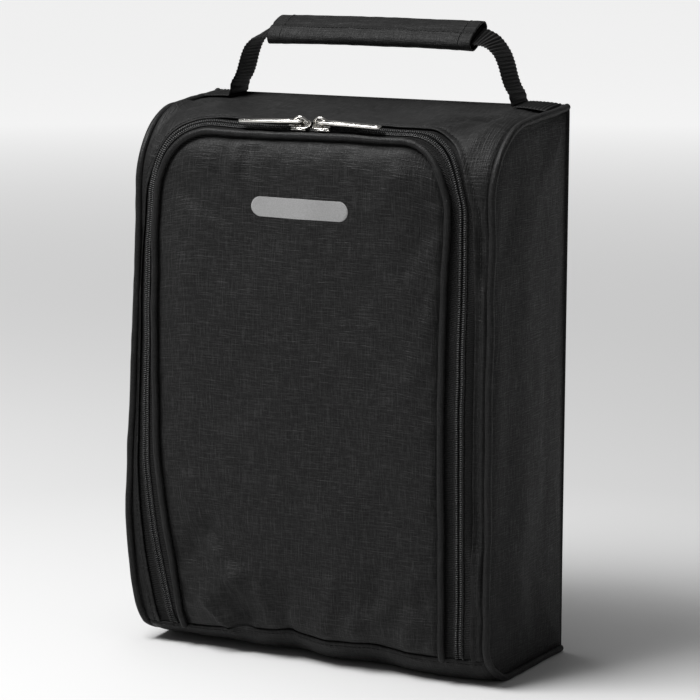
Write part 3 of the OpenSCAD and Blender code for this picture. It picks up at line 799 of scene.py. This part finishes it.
def gusset(name, side, inset, back_t, top, thick, dip):
    """A D-shaped side: one closed sheet, welded along its spine."""
    points, inside = rings_to_spine(gusset_outline(inset, back_t), 26)
    rows, cols = points.shape[:2]
    t, z = points[..., 0], points[..., 1]
    height = top + 2.0 * smooth(inside / 40) - dip * bell(inside, 4.5)
    shape = gusset_shape(side)
    wall = [(i * cols, ((i + 1) % rows) * cols) for i in range(rows)]
    return two_layers(name, shape(t, z, height), shape(t, z, height - thick), points, wall, True)


for side, hand in HANDS:
    dress(gusset(f"{hand}_gusset_cloth", side, 2.6, 0.9, 0.0, CLOTH_T, 1.0),
          "shell", "shell_cloth", f"{hand}_gusset")
    dress(gusset(f"{hand}_gusset_lining_cloth", side, 7.0, 5.0, -3.0, LINING_T, 0.2),
          "shell", "lining", f"{hand}_gusset_lining")

pipe_s = section_steps(1.6, (40, 40, 130, 36, 36))
for side, hand in HANDS:
    x = side * (pipe_x(pipe_s) + 0.25 * ripple(pipe_s, 0, 40, 41 + side))
    lift = -SIDE_PIPE_R + 1.9 - puff(x, pipe_s) * 0.6
    lift = np.where(pipe_s > BASE_S - 16, -SIDE_PIPE_R, lift)
    lift = mix(lift, -SIDE_PIPE_R, smooth((pipe_s - TOE_S) / (BASE_S - 16 - TOE_S)))
    radius = SIDE_PIPE_R * (1 + 0.03 * ripple(pipe_s, 0, 14, 51 + side))
    pipe = tube(f"{hand}_side_pipe", skin(x, pipe_s, lift), skin_normal(x, pipe_s), radius)
    dress(pipe, "shell", "piping", f"{hand}_side_piping")
    bind_s = pipe_s[(pipe_s > 8) & (pipe_s < END_S - 8)][::3]
    bind = tube(f"{hand}_seam_binding_tape", skin(side * (pipe_x(bind_s) - 5.4), bind_s, -4.4),
                skin_normal(side * pipe_x(bind_s), bind_s), 2.6, flat=0.35)
    dress(bind, "shell", "binding", f"{hand}_seam_binding")


# ---- shell: back ----
def back_shape(x, z, height):
    """The back's cloth. height runs outwards, towards +Y."""
    edge = np.minimum(BAG_W / 2 - np.abs(x), np.minimum(z, BAG_H - z))
    rise = 1.4 * smooth(edge / 50) + 0.5 * ripple(x, z, 90, 61) * smooth(edge / 25)
    shift = side_slack(0 * z, z) * smooth((-40 - x) / 85)
    return np.stack([x + shift, BACK_Y - 1.2 + height + rise, z], -1)


def back_grid(half, low, high, rows, cols):
    """A grid of x, z over the back, a little narrower at its foot."""
    z = np.linspace(low, high, rows)[:, None]
    narrow = 1 - 0.012 * (1 - z / BAG_H)
    return half * narrow * np.linspace(-1, 1, cols), z + np.zeros((1, cols))


x, z = back_grid(BAG_W / 2 - 0.6, 0.4, BAG_H - 0.3, 110, 90)
dress(cloth("back_cloth", x, z, 0.0, CLOTH_T, shape=back_shape),
      "shell", "shell_cloth", "back_panel")
x, z = back_grid(BAG_W / 2 - 6, 5, BAG_H - 5, 40, 30)
back_pad = cloth("back_foam_sheet", x, z, -1.4, 2.8, shape=back_shape)
dress(back_pad, "shell", "foam", "back_foam")
dress(cloth("back_lining_cloth", x, z, -4.4, LINING_T, shape=back_shape),
      "shell", "lining", "back_lining")

# ---- door ----
BUNCH = 0.86 * math.pi / 2  # bunches a grid's columns towards its sides


def door_grid(inset, rows_in_corner, rows_below, columns, low=LOW_S):
    """A grid of x, s inside the zip's U, its top corners rounded."""
    c = ZIP_CORNER - inset
    a = np.linspace(0, math.pi / 2, rows_in_corner)
    half = np.concatenate([CORNER_X + c * np.sin(a), np.full(rows_below, ZIP_HALF - inset)])
    below = np.linspace(CORNER_S, low, rows_below + 1)[1:]
    s = np.concatenate([ZIP_TOP + inset + c * (1 - np.cos(a)), below])
    u = np.sin(np.linspace(-1, 1, columns) * BUNCH) / math.sin(BUNCH)
    return half[:, None] * u, s[:, None] + 0 * u


def door_cloth_height(x, s):
    """The padded door's swell, with puckers along its seam."""
    edge = np.minimum(zip_depth(x, s) - DOOR_INSET - DOOR_PIPE_R, (HINGE_S - s) * 1.4)
    swell = 1.6 * smooth(edge / 22) - 1.6 * bell(edge, 2.6)
    pucker = 0.3 * bell(edge - 6, 6) * np.sin((x + s) / 4.3 + 2 * np.sin((x - s) / 17))
    return swell + pucker


x, s = door_grid(DOOR_INSET + DOOR_PIPE_R - 0.7, 44, 130, 120)
dress(cloth("door_cloth_panel", x, s, door_cloth_height(x, s), DOOR_CLOTH_T),
      "door", "door_cloth", "door_panel")
x, s = door_grid(TAPE_W + 5, 30, 90, 80, HINGE_S - 6)
pad_top = door_cloth_height(x, s) - 1.2
door_pad = cloth("door_foam_sheet", x, s, pad_top, pad_top + 3.2)
dress(door_pad, "door", "foam", "door_foam")
x, s = door_grid(TAPE_W + 1, 26, 80, 60, HINGE_S - 2)
dress(cloth("door_lining_cloth", x, s, -3.7, LINING_T), "door", "lining", "door_lining")

line, ups = u_line(-DOOR_INSET, 0.6)
radius = DOOR_PIPE_R * (1.05 + 0.03 * ripple(np.arange(len(line)) * 2.4, 0, 15, 71))
dress(tube("door_pipe", line, ups, radius), "door", "piping", "door_piping")

# ---- zip ----
TAPE_TOP = -1.45
for body, part, sign in (("shell", "outer", 1), ("door", "inner", -1)):
    outs = sign * np.array([0.5, 1.5, 2.5, 3.4, 4.5, 6, 7.5, 9, 10.5, 12, 13])
    x, s = u_band(sorted(outs))
    ridge = 0.35 * bell(np.abs(zip_depth(x, s)) - 3.6, 0.7)
    dress(cloth(f"{part}_tape", x, s, TAPE_TOP + ridge, TAPE_T, turn_uv=True),
          body, "zip_tape", f"{part}_zip_tape")
    line, ups = u_line(sign * 1.35, TAPE_TOP + 0.9)
    place, along, up, side = resample(line, ups, 1.3, 0.3 if sign > 0 else 0.95)
    teeth = beads(f"{part}_coil_teeth", place, unit(side + 0.18 * along), up, 2.6, 0.46, 0.22)
    dress(teeth, body, "zip_coil", f"{part}_zip_coil")
    line, ups = u_line(sign * 2.9, TAPE_TOP + 0.7)
    dress(stitches(f"{part}_coil_stitches", line, ups, 1.9, 1.6, 0.26, 0.1),
          body, "zip_coil", look="thread")
    line, ups = u_line(sign * 2.3, TAPE_TOP + 0.5)
    dress(tube(f"{part}_coil_cord", line, ups, 0.42, sides=8), body, "zip_coil")

# The cloth across the foot of the door, where the door turns
x, s = across(HINGE_S + np.linspace(-7, 7, 15), 60, 25, pipe_x)
hinge_strip = cloth("hinge_strip", x, s, -2.3, 0.6)
hinge_strip.data.materials.append(LOOKS["lining"])
low_edge, high_edge = skin(0, HINGE_S + 5), skin(0, HINGE_S - 5)
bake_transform(hinge_strip)

# ---- label ----
low, high = node_box("door_label")
(half, _, r), (_, _, mid_z) = (high - low) / 2, (low + high) / 2
turns = np.linspace(-math.pi / 2, math.pi / 2, 25)[:, None] * 0.97
x = (half - r + r * np.cos(turns)) * np.linspace(-1, 1, 60)
s = FRONT_S + (section(0, FRONT_S)[1] - mid_z) + r * np.sin(turns) + 0 * x
dress(cloth("door_label_print", x, s, door_cloth_height(x, s) + 0.14, 0.3),
      "door", "label", "door_label")

# ---- sliders and pulls ----
SLIDER_X = sum(node_box("right_slider_body"))[0] / 2
ZIP_T, ZIP_Z, ZIP_NT, ZIP_NZ = (float(v) for v in section(0, ZIP_TOP))
PULL_POS = np.array(JOINTS["right_pull_hinge"]["pos_m"]) / MM
ZIP_N = np.array([0, -ZIP_NT, ZIP_NZ])
ZIP_V = np.array([0, -ZIP_NZ, -ZIP_NT])
SLIDER_BASE = np.array([0, BACK_Y - ZIP_T, ZIP_Z])


def place_matrix(origin, side):
    """Local x along the zip away from the middle, y across it and down, z out of the cloth."""
    columns = np.stack([[side, 0, 0], -ZIP_V, ZIP_N, origin * MM], 1)
    return Matrix([*columns.tolist(), [0, 0, 0, 1]])


def outline_plate(name, loops, thick, bevel, z):
    """A plate from closed outlines in millimetres, holes included, with rounded edges."""
    curve = bpy.data.curves.new(name, "CURVE")
    curve.dimensions = "2D"
    curve.fill_mode = "BOTH"
    curve.extrude = (thick / 2 - bevel) * MM
    curve.bevel_depth = bevel * MM
    curve.bevel_resolution = 3
    for loop in loops:
        spline = curve.splines.new("POLY")
        spline.points.add(len(loop) - 1)
        for point, (x, y) in zip(spline.points, loop):
            point.co = (x * MM, y * MM, 0, 1)
        spline.use_cyclic_u = True
    ob = link_new(name, curve)
    bpy.context.view_layer.update()
    made = ob.evaluated_get(bpy.context.evaluated_depsgraph_get())
    mesh = bpy.data.meshes.new_from_object(made)
    bpy.data.objects.remove(ob)
    mesh.transform(Matrix.Translation((0, 0, z * MM)))
    return mesh


def arc(cx, cy, r, a0, a1, n):
    """Points on a circle from angle a0 to a1, in degrees."""
    a = np.radians(np.linspace(a0, a1, n))
    return list(zip(cx + r * np.cos(a), cy + r * np.sin(a)))


def local_tube(name, line, radius, flat):
    """The mesh of a cord that is squeezed along z."""
    line = np.asarray(line, float)
    ob = tube(name, line, np.tile([0, 0, 1.0], (len(line), 1)), radius, 12, flat)
    mesh = ob.data
    bpy.data.objects.remove(ob)
    return mesh


def join_local(name, meshes, matrix):
    """One object from meshes in the local frame, placed by matrix."""
    bm = bmesh.new()
    for mesh in meshes:
        bm.from_mesh(mesh)
    bmesh.ops.transform(bm, matrix=matrix, verts=bm.verts)
    bmesh.ops.remove_doubles(bm, verts=bm.verts, dist=1e-7)
    bmesh.ops.recalc_face_normals(bm, faces=bm.faces)
    mesh = bpy.data.meshes.new(name)
    bm.to_mesh(mesh)
    bm.free()
    mesh.polygons.foreach_set("use_smooth", [True] * len(mesh.polygons))
    mesh.set_sharp_from_angle(angle=math.radians(50))
    return link_new(name, mesh)


def slider_meshes():
    """A slider's top, cheeks, crown and blocks, in the frame that place_matrix sets."""
    nose = arc(-2.4, 0, 3.7, 110, 250, 15)
    tail = [(4.6, -3.1), (5.8, -2.5), (6.0, -1.5), (6.0, 1.5), (5.8, 2.5), (4.6, 3.1)]
    top = outline_plate("slider_top", [nose + tail], 1.3, 0.45, 1.25)
    cheeks = []
    for y in (-3.55, 3.55):
        steps = np.linspace(-3.6, 5.2, 14)
        line = [(x, y * (1 if x < 2 else 0.92), 0.35 - 0.1 * abs(x)) for x in steps]
        cheeks.append(local_tube("slider_cheek", line, 0.75, 1.3))
    turn = np.linspace(-0.1, math.pi + 0.1, 25)
    line = np.stack([4.8 * np.cos(turn) - 0.4, 0 * turn, 1.6 + 5.8 * np.sin(turn)], -1)
    crown = local_tube("slider_crown", line, 1.05 - 0.15 * np.sin(turn), 0.62)
    blocks = []
    for name, outline, thick, bevel, z in (
        ("foot", [(3.2, -2.6), (6.2, -2.6), (6.2, 2.6), (3.2, 2.6)], 2.8, 0.4, 1.9),
        ("post", [(-3, -0.2), (0.6, -0.2), (0.6, 0.2), (-3, 0.2)], 5.2, 0.1, -1.9),
        ("floor", [(-4.6, -4.0), (4.6, -3.4), (4.6, 0.15), (-4.6, 0.15)], 1.0, 0.3, -4.3),
    ):
        blocks.append(outline_plate(f"slider_{name}", [outline], thick, bevel, z))
    return [top, *cheeks, crown, *blocks]


PULL_ROLL, PULL_DROOP = math.radians(-25), math.radians(3.5)


def pull_meshes(length=40.0):
    """A tapered flat pull with a ring at its pivot and a small eye near its tip."""
    ring = arc(0.6, 0, 2.7, 100, 260, 13)
    tip = arc(length - 1.9, 0, 1.9, -78, 78, 13)
    lower = [(4.4, -2.5), (7.0, -2.75), (12, -2.7)]
    edge = ring + lower + tip + [(x, -y) for x, y in lower[::-1]]
    eye = [(x * 1.5 + 0.9 if x > 0.9 else x, y) for x, y in arc(0.9, 0, 1.25, 0, 360, 21)[:-1]]
    tip_eye = arc(length - 3.2, 0, 0.85, 0, 360, 17)[:-1]
    plate = outline_plate("pull_plate", [edge, eye[::-1], tip_eye[::-1]], 1.7, 0.6, 0)
    spine = [(x, 0, 0.7) for x in np.linspace(7, length - 9, 14)]
    rib = local_tube("pull_rib", spine, np.linspace(1.3, 0.8, 14), 0.35)
    lean = Matrix.Rotation(-PULL_DROOP, 4, "Z") @ Matrix.Rotation(PULL_ROLL, 4, "X")
    for mesh in (plate, rib):
        mesh.transform(lean)
    return [plate, rib]


for side, hand in HANDS:
    base = SLIDER_BASE + np.array([side * SLIDER_X, 0, 0]) + ZIP_N * 0.15
    slider = join_local(f"{hand}_slider_metal", slider_meshes(), place_matrix(base, side))
    dress(slider, f"{hand}_slider", "nickel", f"{hand}_slider_body")
    pivot = PULL_POS * np.array([side, 1, 1]) + ZIP_N * 1.2
    pull = join_local(f"{hand}_pull_metal", pull_meshes(), place_matrix(pivot, side))
    dress(pull, f"{hand}_zip_pull", "nickel", f"{hand}_pull")

# ---- handle ----
STRAP_W, STRAP_IN_GRIP, STRAP_T, STRAP_BACK = 22.8, 20.0, 1.7, 12.0
PIVOT = np.array(JOINTS["handle_hinge"]["pos_m"]) / MM
GRIP_HALF = (GRIP_HIGH[0] - GRIP_LOW[0]) / 2
GRIP_RISE = (GRIP_LOW[2] + GRIP_HIGH[2]) / 2 - PIVOT[2]
GRIP_TILT = math.radians(30)


def squarish(v, power):
    """A sine or cosine whose round section is made squarer."""
    return np.sign(v) * np.abs(v) ** power


def strap_line():
    """The middle of the webbing's right half: x, height over the pivot, how far it has turned."""
    keys = np.array([
        (121.0, -0.6, 0), (117, -0.3, 0), (110, 0.0, 0), (103.4, 0.5, 0), (99.2, 1.9, 0),
        (95.8, 4.4, 0), (93.0, 8.0, 0), (91.0, 12.4, 0), (89.6, 17, 0), (88.2, 22, 0.02),
        (85.6, 28, 0.06), (81.4, 32.8, 0.2), (76.5, 36.0, 0.5), (71, 37.4, 0.8), (66, 37.8, 1),
        (50, 38.6, 1), (25, 39.0, 1), (0, 39.1, 1),
    ])
    keys[:, 1] *= GRIP_RISE / 38.0
    at = run_length(keys[:, :2])
    line = along_run(np.linspace(0, at[-1], 460), at, keys)
    kernel = np.hanning(23) / np.hanning(23).sum()
    for k in range(3):
        padded = np.pad(line[:, k], 11, mode="reflect", reflect_type="odd")
        line[:, k] = np.convolve(padded, kernel, "valid")
    return line


def strap():
    """The webbing: it lies on the top at its feet, rises in two bends and turns into the grip."""
    half = strap_line()
    whole = np.concatenate([half, (half * np.array([-1, 1, 1]))[::-1][1:]])
    lying = skin(whole[:, 0], STRAP_BACK)[:, 2] - PIVOT[2] + STRAP_T / 2 + 0.2
    whole[:, 1] = mix(lying, whole[:, 1], smooth(whole[:, 1] / 6))
    whole[:, 0] += SLACK_BACK * smooth((-whole[:, 0] - 100) / 20)
    depth = np.full(len(whole), BACK_Y - STRAP_BACK)
    line = np.stack([whole[:, 0], depth, PIVOT[2] + whole[:, 1]], -1)
    along, length = unit(np.gradient(line, axis=0)), run_length(line)
    roll = GRIP_TILT * whole[:, 2, None]
    back = np.array([0, 1.0, 0])
    wide = back * np.cos(roll) + np.cross(back, along) * np.sin(roll)
    up = np.cross(wide, along)
    rib = 0.4 * np.sin(length * 2 * math.pi / 2.3)
    turn = np.linspace(0, 2 * math.pi, 33)
    flat_x = squarish(np.cos(turn), 0.45) * STRAP_W / 2
    flat_z = squarish(np.sin(turn), 0.75) * STRAP_T / 2
    grow = np.abs(np.sin(turn)) ** 0.5
    narrow = mix(1.0, STRAP_IN_GRIP / STRAP_W, smooth(whole[:, 2]))
    middle = line[:, None] + wide[:, None] * (flat_x * narrow[:, None])[..., None]
    ground = skin(middle[..., 0], np.maximum(BACK_Y - middle[..., 1], 2.0))[..., 2]
    foot = 1 - smooth(whole[:, 1] / 5)[:, None]
    middle[..., 2] = mix(middle[..., 2], ground + STRAP_T / 2 + 0.3, foot)
    swell = flat_z + np.sign(flat_z) * rib[:, None] * grow
    points = middle + up[:, None] * swell[..., None]
    uvs = np.stack(np.broadcast_arrays(length[:, None], flat_x), -1) * MM
    rows, cols = points.shape[:2]
    faces = grid_faces(rows, cols)
    faces += [tuple(range(a, a + cols - 1)) for a in (0, (rows - 1) * cols)]
    return new_piece("handle_strap", points, faces, uvs, weld=True)


handle_strap = strap()
handle_strap.data.materials.append(LOOKS["webbing"])
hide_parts("handle_webbing", "left_strap_foot", "right_strap_foot")
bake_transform(handle_strap)

GRIP_W, GRIP_T, SEAM_ACROSS = 26.0, 10.0, -2.6
GRIP_UP = [0, -math.sin(GRIP_TILT), math.cos(GRIP_TILT)]


def grip_section(turn, width, thick):
    """A flattened round section: across and up."""
    return squarish(np.cos(turn), 0.72) * width / 2, squarish(np.sin(turn), 0.82) * thick / 2


def in_grip(x, wide, high):
    """Points in the tilted grip, which bows up a little in its middle."""
    v = high + 0.8 * (1 - (x / GRIP_HALF) ** 2)
    c, s = math.cos(GRIP_TILT), math.sin(GRIP_TILT)
    return np.stack([x, PIVOT[1] + wide * c - v * s, PIVOT[2] + GRIP_RISE + wide * s + v * c], -1)


def grip_tube(name, half, width, thick, wall, rows):
    """The sleeve: an open tube of cloth with folded ends."""
    cols = 73
    turn, x = np.meshgrid(np.linspace(0, 2 * math.pi, cols), np.linspace(-half, half, rows))
    hem = 0.35 * bell(half - np.abs(x), 7.5) - 0.4 * bell(half - np.abs(x) - 8.5, 0.8)
    a, u = grip_section(turn, width, thick)
    off = a - SEAM_ACROSS
    seam = (-0.9 * bell(off, 0.7) + 0.4 * bell(off - 2, 1.5) + 0.3 * bell(off + 2, 1.5)) * (u > 0)
    wave = 0.28 * ripple(x, turn * 12, 22, 81) + 0.12 * ripple(x, turn * 12, 9, 82)
    scale = 1 + (hem + wave) / 9
    outer = in_grip(x, a * (1 + 0.02 * wave), u * scale + 0.8 * seam)
    narrow, thin = 1 - 2 * wall / width, 1 - 2 * wall / thick
    inner = in_grip(x, a * narrow, u * scale * thin + 0.5 * seam)
    ends = [(i * cols + j, i * cols + j + 1) for i in (0, rows - 1) for j in range(cols - 1)]
    return two_layers(name, outer, inner, np.stack([x, turn * 9], -1), ends)


sleeve = grip_tube("grip_sleeve_cloth", GRIP_HALF + 1.5, GRIP_W, GRIP_T, 0.9, 150)
dress(sleeve, "handle", "sleeve_cloth", "grip_sleeve")
line = in_grip(np.linspace(-GRIP_HALF + 22, GRIP_HALF - 22, 40), np.zeros(40), np.zeros(40))
grip_pad = tube("grip_foam_core", line, np.tile(GRIP_UP, (40, 1)), GRIP_W / 2 - 1.6, 28,
                flat=0.29, caps=3)
dress(grip_pad, "handle", "foam", "grip_padding")


def grip_row(name, xs, turns, lift, **sizes):
    """A row of stitches on the sleeve."""
    a, u = grip_section(turns, GRIP_W, GRIP_T)
    row = stitches(name, in_grip(xs, a, u + lift), np.tile(GRIP_UP, (len(xs), 1)), **sizes)
    dress(row, "handle", "sleeve_cloth", look="thread")


xs = np.linspace(-GRIP_HALF + 1, GRIP_HALF - 1, 120)
grip_row("grip_seam_stitches", xs, np.full(120, math.pi / 2 + (0.5 - SEAM_ACROSS) / 13), 0.25)
for side, hand in HANDS:
    xs = np.full(60, side * (GRIP_HALF - 7.0))
    grip_row(f"{hand}_hem_stitches", xs, np.linspace(0.12, math.pi - 0.12, 60), 0.0, pitch=2.6)

# ---- camera, light and floor ----
# In metres from here on. The camera was fitted to the photo.
AZIMUTH, ELEVATION, DISTANCE = math.radians(28.3), math.radians(9.8), 1.808
LENS, SENSOR = 153.4, 36
TARGET, TO_RIGHT, TO_UP = Vector((0, -0.0015, 0.175)), 0.00485, 0.0103
WORLD_LIGHT = 0.17
# The floor glows more the further it is from the bag, so that it fades to white as in the photo.
GLOW, GLOW_FROM, GLOW_TO = 0.75, 0.5, 3.4

camera_data = bpy.data.cameras.new("camera")
camera_data.sensor_width = SENSOR
camera_data.lens = LENS
camera = link_new("camera", camera_data)
level = math.cos(ELEVATION)
forward = Vector((-math.sin(AZIMUTH) * level, math.cos(AZIMUTH) * level, -math.sin(ELEVATION)))
right = Vector((math.cos(AZIMUTH), math.sin(AZIMUTH), 0))
up_way = right.cross(forward)
camera.location = TARGET - forward * DISTANCE + right * TO_RIGHT + up_way * TO_UP
camera.rotation_euler = forward.to_track_quat("-Z", "Y").to_euler()
scene.camera = camera

world = bpy.data.worlds.new("studio")
world.use_nodes = True
background = world.node_tree.nodes["Background"]
background.inputs["Color"].default_value = (1, 1, 1, 1)
background.inputs["Strength"].default_value = WORLD_LIGHT
scene.world = world
scene.view_settings.view_transform = "Standard"


def area_light(name, place, aim, size, power):
    data = bpy.data.lights.new(name, "AREA")
    data.shape = "RECTANGLE"
    data.size, data.size_y = size
    data.energy = power
    ob = link_new(name, data)
    ob.location = place
    ob.rotation_euler = (Vector(aim) - Vector(place)).to_track_quat("-Z", "Y").to_euler()


area_light("key", (-0.52, -0.66, 1.6), (0, 0, 0.24), (0.8, 0.8), 47)
area_light("top", (-0.1, 0.05, 1.5), (-0.05, 0, 0.3), (0.25, 0.6), 4)

bpy.ops.mesh.primitive_plane_add(size=40)
floor = bpy.context.object
floor.name = "studio_floor"
look = Nodes("floor_look", 0.6)
tone = look.noise(look.place((0.7, 0.7, 0.7)), 2.0)
look.link(look.colour(look.ramp(tone, 0.3, 0.7), grey(0.60), grey(0.62)), "Base Color")
far = look.add("ShaderNodeVectorMath", {0: look.place((1, 1, 0))}, operation="LENGTH")
look.link(look.ramp(far.outputs["Value"], GLOW_FROM, GLOW_TO, 0.0, GLOW), "Emission Strength")
look.set({"Emission Color": (1, 1, 1, 1)})
floor.data.materials.append(look.material)

low, high = cad_box
